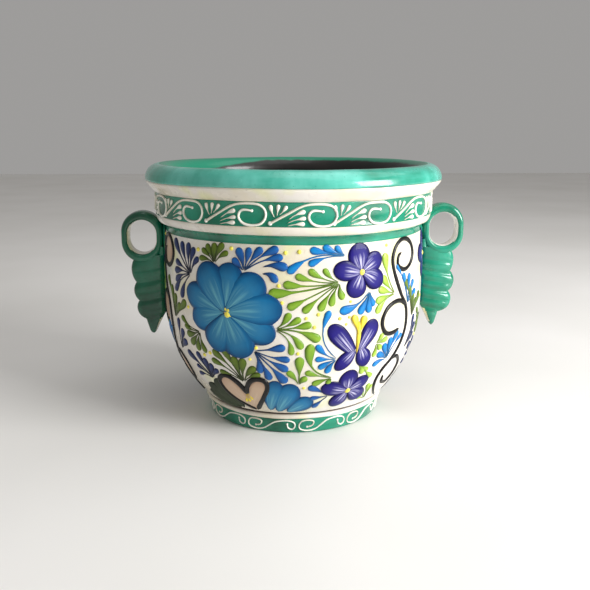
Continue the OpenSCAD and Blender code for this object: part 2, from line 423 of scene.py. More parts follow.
class PetalPaint(Enum):
    """A petal's colours: its edge, its body and its pale brush streaks, then the streaks' strength and haze."""

    BLUE = (srgb(5, 46, 92), srgb(16, 110, 162), srgb(124, 196, 206), 0.75, 0.38)
    VIOLET = (srgb(10, 4, 60), srgb(22, 10, 112), srgb(230, 226, 250), 1.0, 0.04)
    SMOKE = (srgb(26, 34, 24), srgb(50, 62, 42), srgb(92, 104, 76), 0.5, 0.1)
    BISCUIT = (srgb(176, 140, 116), srgb(208, 180, 154), srgb(226, 204, 180), 0.6, 0.2)

    def make(self) -> bpy.types.Material:
        """Sets up the nodes, which follow the petal's own UV map.

        Returns:
            The petal's paint as a material.
        """
        rim, body, pale, amount, haze = self.value
        mix = Recipe(f"petal_{self.name.lower()}", 0.34, 0.12, 0.14)
        side, run, turn = mix.along()
        out = mix.steps(run, [(0.0, rim), (0.1, body), (0.6, body), (1.0, rim)])
        colour = mix.blend(mix.steps(turn, [(0.0, 1.0), (0.24, 0.0), (0.8, 0.0), (1.0, 0.85)]), out, rim)
        reach = mix.steps(run, [(0.02, 0.3), (0.12, 1.0), (0.36, 0.8), (0.56, 0.0)])
        middle = mix.steps(side, [(0.2, 1.0), (0.7, 0.0)])
        brush = mix.steps(mix.grain(1.0, 4, (11, 0.7, 1), "UV"), [(0.46, 0.0), (0.6, 1.0)])
        streak = mix.maths("MULTIPLY", mix.maths("MULTIPLY", reach, middle), brush)
        colour = mix.blend(mix.maths("MULTIPLY", streak, amount), colour, pale)
        soft = mix.maths("MULTIPLY", mix.maths("MULTIPLY", mix.steps(run, [(0.0, 1.0), (0.78, 0.0)]), middle), haze)
        colour = mix.blend(soft, colour, pale)
        mix.raise_by(mix.grain(1.0, 3, (10, 1.2, 1), "UV"), 0.0004, 0.4)
        return mix.done(colour, mix.steps(mix.grain(90, 2), [(0.3, 0.28), (0.7, 0.46)]))


class Paintbox:
    """Keeps one material of each finish, so that pieces share them."""

    def __init__(self) -> None:
        """Starts with an empty box."""
        self.kept: dict[object, bpy.types.Material] = {}

    def get(self, finish: object) -> bpy.types.Material:
        """The material of a finish, made the first time that it is asked for.

        Args:
            finish: the finish.

        Returns:
            Its material.
        """
        if finish not in self.kept:
            self.kept[finish] = finish.make()
        return self.kept[finish]


PAINTS = Paintbox()
GREEN = CopperGlaze()
# A lighter copy of the copper-green glaze for the rolled rim: painted light, where the rim catches the light from
# above.
LIT_RIM_GREEN = CopperGlaze("rim_glaze_painted_light", srgb(34, 134, 110), srgb(50, 158, 136), srgb(108, 202, 186))
# A darker copy of the copper-green glaze for the left handle: painted shade for the side away from the light.
SHADED_GREEN = CopperGlaze("green_glaze_painted_shade", srgb(4, 58, 38), srgb(8, 90, 62), srgb(22, 118, 90))
CREAM = CreamGround()
# The bare clay's dark colour is partly painted shade, for the inside of the pot.
SHADED_CLAY = ShadedBareClay()
# The lip's inside carries painted light on the left and painted shade below the glaze.
LIP_LIGHT_AND_SHADE = LipLightAndShade()


def finish_piece(name: str, shape: bmesh.types.BMesh, paints: Sequence[object]) -> bpy.types.Object:
    """Turns a shape into a piece of the planter that rides on it.

    Args:
        name: the piece's name.
        shape: its mesh, which is freed.
        paints: its finishes, in the order of the faces' material numbers.

    Returns:
        The finished piece.
    """
    for vert in shape.verts:
        vert.co = hand(vert.co)
    for face in shape.faces:
        face.smooth = True
    mesh = bpy.data.meshes.new(name)
    shape.to_mesh(mesh)
    shape.free()
    for paint in paints:
        mesh.materials.append(PAINTS.get(paint))
    piece = bpy.data.objects.new(name, mesh)
    bpy.context.scene.collection.objects.link(piece)
    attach(piece, "root")
    LOG.info("%s: %d faces", name, len(mesh.polygons))
    return piece


# ---- Walls that drawings are laid on -------------------------------------------------------------


@dataclass(frozen=True)
class Belly:
    """The belly's outer face: two arcs that are both upright at its widest ring."""

    wide_r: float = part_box("belly_wall")[1].x
    wide_z: float = 125 * MM
    low_arc: float = 153.8 * MM
    high_arc: float = 1227 * MM
    turn: float = PAINT_TURN

    def face(self, rise: float) -> tuple[float, float, float, float]:
        """The face at a rise along the wall from the widest ring.

        Args:
            rise: metres along the wall, down is negative.

        Returns:
            Radius, height, and the outward direction's two parts.
        """
        arc = self.low_arc if rise < 0 else self.high_arc
        tilt = rise / arc
        return (
            self.wide_r - arc * (1 - math.cos(tilt)), self.wide_z + arc * math.sin(tilt),
            math.cos(tilt), math.sin(tilt),
        )

    def gauge(self) -> float:
        """The radius that the drawing's x is measured at."""
        return self.wide_r


@dataclass(frozen=True)
class Band:
    """A straight or slightly conical band, with y measured from its middle."""

    low_r: float
    high_r: float
    low_z: float
    high_z: float
    turn: float = PAINT_TURN

    def face(self, rise: float) -> tuple[float, float, float, float]:
        """The face at a rise from the band's middle.

        Args:
            rise: metres up the band, down is negative.

        Returns:
            Radius, height, and the outward direction's two parts.
        """
        share = 0.5 + rise / (self.high_z - self.low_z)
        lean = math.atan2(self.high_r - self.low_r, self.high_z - self.low_z)
        return (
            self.low_r + (self.high_r - self.low_r) * share, self.low_z + (self.high_z - self.low_z) * share,
            math.cos(lean), -math.sin(lean),
        )

    def gauge(self) -> float:
        """The radius that the drawing's x is measured at."""
        return (self.low_r + self.high_r) / 2

    @classmethod
    def round_node(cls, node: str) -> "Band":
        """The straight band round an upright node.

        Args:
            node: the CAD node's name.

        Returns:
            A band at its radius, from its foot to its top.
        """
        low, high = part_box(node)
        return cls(high.x, high.x, low.z, high.z)


Wall = Belly | Band


def lay(wall: Wall, spin: float, at: Pair, off: Pair, lift: float) -> Vector:
    """Lays one point of a drawing on a wall.

    Args:
        wall: the wall.
        spin: how far round the planter the drawing is repeated, in radians.
        at: the point's place in the drawing, in millimetres.
        off: a further step along the wall's own surface, in millimetres.
        lift: how far it stands proud, in millimetres.

    Returns:
        The point in the row frame.
    """
    radius, height, out, up = wall.face((at[1] + off[1]) * MM)
    angle = wall.turn + spin + at[0] * MM / wall.gauge() + off[0] * MM / radius
    reach = radius + lift * MM * out
    return Vector((reach * math.sin(angle), -reach * math.cos(angle), height + lift * MM * up))


# ---- Strokes -----------------------------------------------------------------------------------


class Stamp:
    """A closed strip that runs from a pointed tail to a pointed head, which every stroke is bent from."""

    kept: dict[Pair, "Stamp"] = {}

    def __init__(self, across: int, length: int) -> None:
        """Makes the flat strip.

        Args:
            across: faces from side to side.
            length: faces from tail to head.
        """
        shape = bmesh.new()
        bmesh.ops.create_grid(shape, x_segments=across, y_segments=length, size=0.5)
        flow = shape.loops.layers.uv.new("flow")
        for face in shape.faces:
            for corner in face.loops:
                corner[flow].uv = (corner.vert.co.x + 0.5, corner.vert.co.y + 0.5)
        for end in (-0.5, 0.5):
            tip = [v for v in shape.verts if abs(v.co.y - end) < 1e-4]
            bmesh.ops.pointmerge(shape, verts=tip, merge_co=(0, end, 0))
        grown = bmesh.ops.extrude_face_region(shape, geom=shape.faces[:])
        top = [v for v in grown["geom"] if isinstance(v, bmesh.types.BMVert)]
        bmesh.ops.translate(shape, verts=top, vec=(0, 0, 1))
        bmesh.ops.recalc_face_normals(shape, faces=shape.faces[:])
        self.mesh = bpy.data.meshes.new("strip")
        shape.to_mesh(self.mesh)
        shape.free()

    @classmethod
    def of(cls, across: int, length: int) -> "Stamp":
        """The strip of that many faces, made once.

        Args:
            across: faces from side to side.
            length: faces from tail to head.

        Returns:
            The strip.
        """
        if (across, length) not in cls.kept:
            cls.kept[(across, length)] = cls(across, length)
        return cls.kept[(across, length)]

    def press(self, shape: bmesh.types.BMesh, bend: Callable[[float, float, float], Vector]) -> None:
        """Adds a copy to a shape.

        Args:
            shape: what it is added to.
            bend: gives a point's place from its side, -1 to 1, its run from tail to head, 0 to 1, and 1 on top.
        """
        before = len(shape.verts)
        shape.from_mesh(self.mesh)
        shape.verts.ensure_lookup_table()
        for vert in shape.verts[before:]:
            vert.co = bend(vert.co.x * 2, vert.co.y + 0.5, vert.co.z)


def dome(side: float, height: float, lip: float = 0.35) -> float:
    """How high a bead of enamel stands at a place from its middle, -1 to 1, to its edge."""
    return height * (lip + (1 - lip) * math.sqrt(max(0.0, 1 - side * side)))


@dataclass(frozen=True)
class Stroke:
    """One pull of the brush, from a thin tail to a full head."""

    tail: Pair
    head: Pair
    width: float
    bend: float = 0.0
    full: float = 0.0
    thin: float = 0.17
    height: float = 1.2
    across: int = 4
    length: int = 16

    def swell(self, run: float) -> Pair:
        """How far along the stroke a row lies and how wide it is there.

        Args:
            run: the row's place, 0 to 1; the second half is spent on the round of the head.

        Returns:
            The share of the way from tail to head, and the share of the full width.
        """
        reach = math.dist(self.tail, self.head)
        full = self.full or max(0.4, 1 - 0.55 * self.width / reach)
        if run > 0.5:
            turn = math.pi * (run - 0.5)
            return full + (1 - full) * math.sin(turn), math.cos(turn)
        t = 2 * run
        if self.full:
            grown = math.sin(math.pi / 2 * t) ** 1.25
        else:
            begin = max(0.0, 1 - 1.9 * self.width / (reach * full))
            grown = max(0.0, (t - begin) / (1 - begin))
            grown = grown * grown * (3 - 2 * grown)
        return t * full, (self.thin + (1 - self.thin) * grown) * min(1.0, 20 * t)

    def press(self, shape: bmesh.types.BMesh, wall: Wall, spin: float, lift: float = 0.0) -> None:
        """Lays the stroke on a wall.

        Args:
            shape: what it is added to.
            wall: the wall it is painted on.
            spin: how far round the planter it is repeated, in radians.
            lift: extra height, for a stroke over other strokes, in millimetres.
        """
        run = (self.head[0] - self.tail[0], self.head[1] - self.tail[1])
        mid = (
            (self.tail[0] + self.head[0]) / 2 - self.bend * run[1] * 1.4,
            (self.tail[1] + self.head[1]) / 2 + self.bend * run[0] * 1.4,
        )

        def bend(side: float, row: float, top: float) -> Vector:
            """Bends the strip to the wall.

            Args:
                side: the point's place across the strip, -1 to 1.
                row: its place from tail to head, 0 to 1.
                top: 1 on the strip's top.

            Returns:
                The point in the row frame.
            """
            t, swell = self.swell(row)
            knots = list(zip(self.tail, mid, self.head))
            at = tuple((1 - t) ** 2 * a + 2 * t * (1 - t) * b + t * t * c for a, b, c in knots)
            way = [(1 - t) * (b - a) + t * (c - b) for a, b, c in knots]
            size = math.hypot(*way) or 1.0
            half = side * self.width / 2 * swell
            off = (-way[1] / size * half, way[0] / size * half)
            crown = self.height * (0.35 + 0.65 * swell)
            return lay(wall, spin, at, off, lift + dome(side, crown) if top > 0.5 else -0.6)

        Stamp.of(self.across, self.length).press(shape, bend)


def petal(
    tail: Pair, head: Pair, width: float, full: float, base: float, height: float = 1.3, bend: float = 0.0
) -> Stroke:
    """A broad stroke with the finer mesh that a petal's round edge needs.

    Args:
        tail: where it starts.
        head: where it ends.
        width: its greatest width.
        full: the share of its way where it is widest.
        base: the share of its width that it starts with.
        height: how high it stands.
        bend: how far it curves.

    Returns:
        The stroke.
    """
    return Stroke(tail, head, width, bend, full, base, height, across=10, length=24)


@dataclass(frozen=True)
class Fan:
    """A spray of strokes that spread from one point."""

    colour: Enamel
    root: Pair
    heads: Sequence[tuple[float, ...]]
    gap: float = 2.5
    curl: float = 0.16
    load: float = 1.12

    def strokes(self) -> list[Stroke]:
        """Spreads the spray.

        Returns:
            Its strokes, each starting a little way out from the root.
        """
        root = Vector(self.root)
        runs = [Vector((x, y)) - root for x, y, *_ in self.heads]
        axis = sum((run.normalized() for run in runs), Vector((0, 0))).normalized()
        pulled = []
        for run, (x, y, width, *bend) in zip(runs, self.heads):
            away = axis.cross(run.normalized())
            start = root + (axis * 0.5 + run.normalized() * 0.5) * self.gap
            turn = (bend[0] if bend else 0.0) - self.curl * away
            pulled.append(Stroke(tuple(start), (x, y), width * self.load, turn))
        return pulled


@dataclass(frozen=True)
class Flower:
    """A flower seen from the front: petals are angle in degrees, length and width."""

    heart: Pair
    petals: Sequence[tuple[float, float, float]]
    start: float = 1.0
    height: float = 1.3
    full: float = 0.6
    base: float = 0.16

    def press(self, shape: bmesh.types.BMesh, wall: Wall, spin: float, squeeze: float) -> None:
        """Lays the petals on a wall.

        Args:
            shape: what they are added to.
            wall: the wall.
            spin: how far round the planter they are repeated, in radians.
            squeeze: the drawing's millimetres to one of the wall's at this height.
        """
        for index, (angle, length, width) in enumerate(self.petals):
            way = (math.cos(math.radians(angle)) * squeeze, math.sin(math.radians(angle)))
            tail = (self.heart[0] + way[0] * self.start, self.heart[1] + way[1] * self.start)
            head = (self.heart[0] + way[0] * length, self.heart[1] + way[1] * length)
            layer = index % 3
            drawn = petal(tail, head, width, self.full, self.base, self.height, 0.04 * (layer - 1))
            drawn.press(shape, wall, spin, 0.3 * layer)


@dataclass(frozen=True)
class Line:
    """A trailed line through listed points, with its width in millimetres and its two ends' shares of it."""

    points: Sequence[Pair]
    width: float
    ends: Pair = (0.4, 0.4)
    height: float = 1.0
    per_span: int = 4

    def at(self, t: float) -> Pair:
        """The smooth line's point at a share of its way.

        Args:
            t: the share, 0 to 1.

        Returns:
            The point, in millimetres.
        """
        count = len(self.points) - 1
        index = min(count - 1, int(t * count))
        s = t * count - index
        a, b, c, d = (self.points[max(0, min(count, index + k))] for k in (-1, 0, 1, 2))
        return tuple(
            q + 0.5 * s * (r - p + s * (2 * p - 5 * q + 4 * r - u + s * (3 * (q - r) + u - p)))
            for p, q, r, u in zip(a, b, c, d)
        )

    def press(self, shape: bmesh.types.BMesh, wall: Wall, spin: float, lift: float = 0.0) -> None:
        """Lays the line on a wall.

        Args:
            shape: what it is added to.
            wall: the wall.
            spin: how far round the planter it is repeated, in radians.
            lift: extra height in millimetres.
        """
        steps = self.per_span * (len(self.points) - 1)

        def bend(side: float, t: float, top: float) -> Vector:
            """Bends the strip to the wall.

            Args:
                side: the point's place across the strip, -1 to 1.
                t: its place from tail to head, 0 to 1.
                top: 1 on the strip's top.

            Returns:
                The point in the row frame.
            """
            here, ahead, back = self.at(t), self.at(min(1.0, t + 0.004)), self.at(max(0.0, t - 0.004))
            way = (ahead[0] - back[0], ahead[1] - back[1])
            size = math.hypot(*way) or 1.0
            swell = min(1.0, self.ends[0] + 5 * t, self.ends[1] + 5 * (1 - t))
            tremble = noise.noise(Vector((here[0] / 9, here[1] / 9, spin)))
            swell *= min(1.0, 60 * t, 60 * (1 - t)) * (0.92 + 0.16 * tremble)
            half = side * self.width / 2 * swell
            off = (-way[1] / size * half, way[0] / size * half)
            return lay(wall, spin, here, off, lift + dome(side, self.height, 0.2) if top > 0.5 else -0.6)

        Stamp.of(4, steps).press(shape, bend)


def dots(shape: bmesh.types.BMesh, wall: Wall, spin: float, spots: Sequence[tuple[float, float, float]]) -> None:
    """Drops beads of enamel on a wall.

    Args:
        shape: what they are added to.
        wall: the wall.
        spin: how far round the planter they are repeated, in radians.
        spots: x, y and radius of each, in millimetres.
    """
    flow = shape.loops.layers.uv.get("flow") or shape.loops.layers.uv.new("flow")
    for x, y, radius in spots:
        bead = bmesh.ops.create_icosphere(shape, subdivisions=2, radius=1.0)
        for corner in (c for v in bead["verts"] for c in v.link_loops):
            corner[flow].uv = (0.5, 0.6)
        for vert in bead["verts"]:
            co = vert.co.copy()
            vert.co = lay(wall, spin, (x, y), (co.x * radius, co.y * radius), co.z * radius * 0.65)


# ---- The belly's painting ------------------------------------------------------------------------


BIG_PETALS = (
    (84, 47, 32), (-23, 53, 29), (-113, 41, 31), (163, 52, 29), (43, 51, 34), (-68, 46, 35),
    (-163, 42, 29), (121, 51, 35), (6, 56, 33),
)
UPPER_PETALS = ((103, 27, 23), (33, 26, 19), (-31, 27, 20), (-110, 25, 21), (172, 29, 19))
LOWER_PETALS = ((102, 27, 21), (31, 24, 18), (-35, 27, 19), (-113, 26, 20), (163, 30, 19))
HALF_FLOWER = (((-30, -106), (-17, -61), 21), ((-20, -108), (1, -65), 25), ((-8, -108), (22, -86), 22))
WINGS = (
    ((60, -33), (34, -3), 18, 0.66, 0.5), ((66, -32), (82, -2), 18, 0.66, 0.5),
    ((61, -30), (43, -50), 16, 0.5, 0.4), ((67, -29), (78, -50), 17, 0.5, 0.5),
)
CURL_FILLS = (((124, 39), (126, 69), 25), ((109, -20), (110, 10), 24), ((127, -84), (130, -52), 17))
SMOKE_PETALS = (((-70, -108), (-94, -69), 25), ((-76, -110), (-112, -80), 26), ((-82, -110), (-122, -94), 22))
HEART_LOBES = (((-50, -106), (-80, -62), 22), ((-54, -106), (-33, -61), 19))

# Each spray's colour copy follows its place in the garden: darker copies on the left carry painted shade and lighter
# ones on the right painted light, over real differences of paint.
FANS = (
    Fan(Enamel.COBALT, (-46, 45), (
        (-57, 57, 6, 0.1), (-52, 67, 7), (-40, 68, 6), (-28, 68, 6.5), (-13, 68, 7), (-9, 60, 6.5),
    )),
    Fan(Enamel.COBALT, (-30, 51), ((-5, 50, 7.5, 0.14),)),
    Fan(Enamel.COBALT, (-30, 46), ((-15, 37, 6.5, 0.3),)),
    Fan(Enamel.COBALT, (-38, -27), (
        (-7, -23, 7, 0.1), (-3, -36, 6.5), (-5, -48, 7.5), (-7, -63, 8.5), (-24, -60, 7), (-33, -52, 6.5),
    )),
    Fan(Enamel.COBALT, (42, -83), ((16, -69, 7, -0.15), (19, -86, 6), (24, -101, 6, 0.1))),
    Fan(Enamel.AZURE, (50, 60), (
        (-5, 46, 7, -0.14), (14, 53, 6, -0.08), (15, 67, 6.5), (27, 70, 6), (39, 70, 5),
    )),
    Fan(Enamel.AZURE, (75, 27), ((43, 10, 8, 0.06), (63, 5, 7), (74, 5, 7), (80, 11, 5.5))),
    Fan(Enamel.AZURE, (44, -38), (
        (34, 11, 6, 0.16), (22, -21, 6, 0.06), (21, -36, 5.5), (25, -47, 6), (34, -53, 6),
    )),
    Fan(Enamel.AZURE, (107, -50), (
        (90, -40, 6.5), (97, -30, 6.5), (107, -25, 6.5), (117, -20, 6.5), (125, -25, 5), (88, -53, 6),
    )),
    Fan(Enamel.AZURE, (131, 3), ((110, 46, 5), (121, 36, 6), (134, 34, 6.5), (144, 26, 6), (151, 14, 6))),
    Fan(Enamel.LIME, (109, 18), (
        (93, 59, 7.5), (90, 38, 6.5), (85, 26, 6.5), (82, 14, 6.5), (83, 3, 6.5, -0.08),
    )),
    Fan(Enamel.LIME, (84, -27), ((93, -18, 5), (101, -24, 5), (94, -35, 5.5), (85, -42, 5))),
    Fan(Enamel.LIME, (68, -47), ((76, -60, 6, 0.1), (83, -56, 4.5), (92, -67, 5.5))),
    Fan(Enamel.LIME, (104, -103), ((101, -80, 4.5), (94, -77, 5), (88, -87, 5), (87, -97, 4))),
    Fan(Enamel.LEAF, (44, 37), (
        (28, 50, 5), (14, 49, 6), (2, 44, 6), (-9, 36, 7), (-22, 27, 9), (-5, 14, 7), (9, 10, 6.5),
        (24, 11, 6.5), (35, 15, 6), (47, 21, 6),
    )),
    Fan(Enamel.LEAF, (-17, -6), (
        (-3, 10, 6), (7, 5, 6), (17, -1, 6.5), (25, -17, 8, 0.1), (8, -25, 6.5, 0.14),
        (-2, -31, 5.5, 0.14),
    )),
    Fan(Enamel.LEAF, (42, -59), ((17, -20, 8.5, 0.24), (12, -50, 6), (20, -66, 6.5), (37, -67, 5.5))),
    Fan(Enamel.LEAF, (6, -67), ((6, -33, 8), (-6, -49, 6), (14, -56, 6.5))),
    Fan(Enamel.OLIVE, (-76, 50), (
        (-95, 54, 5), (-92, 63, 5), (-86, 68, 5.5), (-76, 70, 6.5), (-66, 70, 6), (-61, 62, 5),
    )),
    Fan(Enamel.NAVY, (-107, 37), (
        (-96, 54, 5.5), (-102, 63, 6.5), (-111, 67, 7), (-124, 67, 7), (-139, 68, 8), (-136, 47, 6),
        (-138, 37, 6.5), (-136, 27, 6.5), (-137, 17, 6.5), (-124, 12, 7),
    )),
    Fan(Enamel.OLIVE, (-141, -12), (
        (-158, 29, 6), (-148, 21, 7), (-138, 14, 7), (-127, 5, 7.5), (-117, 10, 7.5, -0.1),
    )),
    Fan(Enamel.OLIVE, (-96, -16), (
        (-126, -6, 5.5), (-121, -14, 5), (-119, -23, 6.5), (-114, -33, 6.5), (-104, -38, 6.5),
        (-93, -38, 6),
    )),
    Fan(Enamel.OLIVE, (-53, -66), (
        (-81, -57, 5.5), (-88, -44, 6.5), (-84, -33, 7.5), (-71, -28, 7.5), (-60, -36, 7.5),
        (-49, -37, 7.5), (-37, -46, 7), (-33, -54, 5.5),
    )),
    Fan(Enamel.NAVY, (-142, -46), ((-134, -10, 6), (-126, -20, 6.5), (-123, -32, 7))),
    Fan(Enamel.NAVY, (-95, -70), (
        (-128, -44, 8), (-109, -40, 6.5), (-99, -45, 6.5), (-90, -50, 6), (-83, -56, 5.5), (-118, -58, 5),
        (-120, -69, 5),
    )),
    Fan(Enamel.YELLOW, (63, -18), ((57, 5, 6), (70, 3, 6))),
    Fan(Enamel.YELLOW, (-54, -75), ((-58, -93, 3), (-53, -92, 2.6), (-48, -88, 2.4))),
)

COVERED = ((), ((-107, 37), (-76, 50)), ((131, 3),))

DOTS = (
    (-7, 64, 1.9), (5.5, 65, 2.1), (-13, 34.5, 1.8), (-10, 19, 1.8), (12, 4.5, 1.7), (23, 8, 1.8),
    (19.5, -4, 1.9), (4.5, -29.5, 1.8), (-35, -24.5, 1.9), (-42, -37, 1.6), (11.5, -70, 1.7),
    (43.5, 3, 1.8), (53, 3.5, 1.5), (54, 18, 1.4), (50, -3, 1.4), (-58, 66, 2), (-97, 62, 2.1),
    (-97, -41, 2), (-88, -37, 2), (95, 66, 1.6), (-113, 5, 1.8), (-30, -74, 1.5),
)

SCROLLS = (
    Line((
        (117, 57), (112.5, 53), (112, 46), (118, 41), (127, 39.5), (136, 44), (141, 53), (137, 63),
        (128, 68.5), (117, 68.5), (108, 62), (104, 52), (106, 41), (112, 28), (119, 15), (127, 4),
        (130, -8), (130, -22), (126, -36), (118, -50), (108, -60), (104, -71), (107, -83), (116, -94),
        (128, -103),
    ), 4.8, (0.5, 0.4), 1.4),
    Line((
        (126, 5), (118, 9.5), (108, 10), (98, 6), (92, -2), (91.5, -10), (96, -17.5), (103, -20.5),
        (111, -20), (116, -17.5),
    ), 5.0, (0.7, 0.4), 1.4),
    Line((
        (117, -51), (127, -50.5), (135, -55), (141, -64), (140, -76), (132, -84), (124, -83), (118, -78),
        (115, -71),
    ), 4.4, (0.7, 0.4), 1.4),
)
HEART = Line((
    (-49, -105), (-62, -98), (-77, -87), (-84, -76), (-85, -67), (-78, -61), (-69, -61.5), (-60, -69),
    (-53.5, -79), (-51, -71), (-45, -62.5), (-36, -59.5), (-29, -63), (-28, -71), (-34, -83), (-41, -95),
    (-47, -105),
), 5.8, (0.8, 0.8), 1.5)


@dataclass
class Painting:
    """Everything that is enamelled on the belly: the same garden three times round it."""

    wall: Belly = field(default_factory=Belly)
    lower_squeeze: float = 1.17
    shrink: float = 0.74
    over_heart: float = 0.9

    def spins(self) -> list[float]:
        """How far round each repeat of the garden is, in radians."""
        return [2 * math.pi * k / REPEATS for k in range(REPEATS)]

    def build(self) -> None:
        """Makes each colour's strokes as one piece."""
        for colour in Enamel:
            fans = [f for f in FANS if f.colour is colour]
            if not fans:
                continue
            shape = bmesh.new()
            lift = self.over_heart if colour is Enamel.YELLOW else 0.0
            for index, spin in enumerate(self.spins()):
                for fan in fans:
                    if fan.root in COVERED[index]:
                        continue
                    for stroke in fan.strokes():
                        stroke.press(shape, self.wall, spin, lift)
            finish_piece(f"{colour.name.lower()}_sprays", shape, [colour])
        self.flowers()
        self.butterflies()
        self.scrolls()
        self.hearts()
        self.beads()

    def petals(
        self, shape: bmesh.types.BMesh, spin: float, drawn: Sequence[tuple[Pair, Pair, float]],
        form: Pair, height: float = 1.3, lift: float = 0.0,
    ) -> None:
        """Lays single petals on the belly.

        Args:
            shape: what they are added to.
            spin: how far round the planter they are repeated, in radians.
            drawn: tail, head and width of each.
            form: the share of the way where they are widest, and of the width that they start with.
            height: how high they stand.
            lift: extra height, for petals over others.
        """
        for tail, head, width in drawn:
            petal(tail, head, width, *form, height).press(shape, self.wall, spin, lift)

    def flowers(self) -> None:
        """The big blue flowers, the violet ones and the half flowers beside the hearts."""
        blue, violet, hearts = bmesh.new(), bmesh.new(), bmesh.new()
        small = [(angle, length * self.shrink, width * self.shrink) for angle, length, width in BIG_PETALS]
        upper, lower, third = (65.5, 44.5), (64, -79), (-95, 46)
        for index, spin in enumerate(self.spins()):
            if index == 1:
                Flower((-52, 2), small, height=1.5).press(blue, self.wall, spin, 1.0)
                Flower(third, UPPER_PETALS, full=0.56, base=0.3).press(violet, self.wall, spin, 1.0)
                dots(hearts, self.wall, spin, ((*third, 3.2), (-49, 0, 3)))
            else:
                Flower((-65, 6.5), BIG_PETALS, height=1.5).press(blue, self.wall, spin, 1.0)
                dots(hearts, self.wall, spin, ((-62, 5, 3.6), (-61, 9, 2.6), (-64, 10, 2), (-59, 4, 2.2)))
            Flower(upper, UPPER_PETALS, full=0.56, base=0.3).press(violet, self.wall, spin, 1.0)
            Flower(lower, LOWER_PETALS, full=0.56, base=0.3).press(violet, self.wall, spin, self.lower_squeeze)
            self.petals(blue, spin, HALF_FLOWER, (0.62, 0.2))
            dots(hearts, self.wall, spin, ((*upper, 3.2), (*lower, 3.4)))
        finish_piece("blue_flowers", blue, [PetalPaint.BLUE])
        finish_piece("violet_flowers", violet, [PetalPaint.VIOLET])
        finish_piece("flower_hearts", hearts, [Enamel.YELLOW])

    def butterflies(self) -> None:
        """Violet wings and a yellow body."""
        wings, bodies = bmesh.new(), bmesh.new()
        for spin in self.spins():
            for tail, head, width, *form in WINGS:
                self.petals(wings, spin, ((tail, head, width),), form)
            Stroke((63.5, -34), (63.5, -2), 4.5, 0.0, 0.6, 0.3, 1.6).press(bodies, self.wall, spin)
        finish_piece("butterfly_wings", wings, [PetalPaint.VIOLET])
        finish_piece("butterfly_bodies", bodies, [Enamel.YELLOW])

    def scrolls(self) -> None:
        """The black S-scrolls with their three curls."""
        shape = bmesh.new()
        for spin in self.spins():
            for line in SCROLLS:
                line.press(shape, self.wall, spin)
        finish_piece("black_scrolls", shape, [Enamel.BLACK])

    def hearts(self) -> None:
        """A biscuit heart in a black line, over a dark half flower, and biscuit in the left scroll's curls, which is
        partly painted shade.
        """
        fill, smoke, line = bmesh.new(), bmesh.new(), bmesh.new()
        # Only the repeat that turns to the front left gets the curl fill: the darker fill there is partly painted
        # shade.
        self.petals(fill, self.spins()[2], CURL_FILLS, (0.55, 0.6), 0.3)
        for spin in self.spins():
            self.petals(smoke, spin, SMOKE_PETALS, (0.6, 0.25), 1.0)
            self.petals(fill, spin, HEART_LOBES, (0.66, 0.5), 0.9, 0.5)
            HEART.press(line, self.wall, spin, 0.6)
        finish_piece("smoke_flowers", smoke, [PetalPaint.SMOKE])
        finish_piece("heart_fill", fill, [PetalPaint.BISCUIT])
        finish_piece("heart_outlines", line, [Enamel.BLACK])

    def beads(self) -> None:
        """The yellow beads between the sprays."""
        shape = bmesh.new()
        for spin in self.spins():
            dots(shape, self.wall, spin, DOTS)
        finish_piece("yellow_beads", shape, [Enamel.YELLOW])


# ---- Slip scrollwork -------------------------------------------------------------------------------


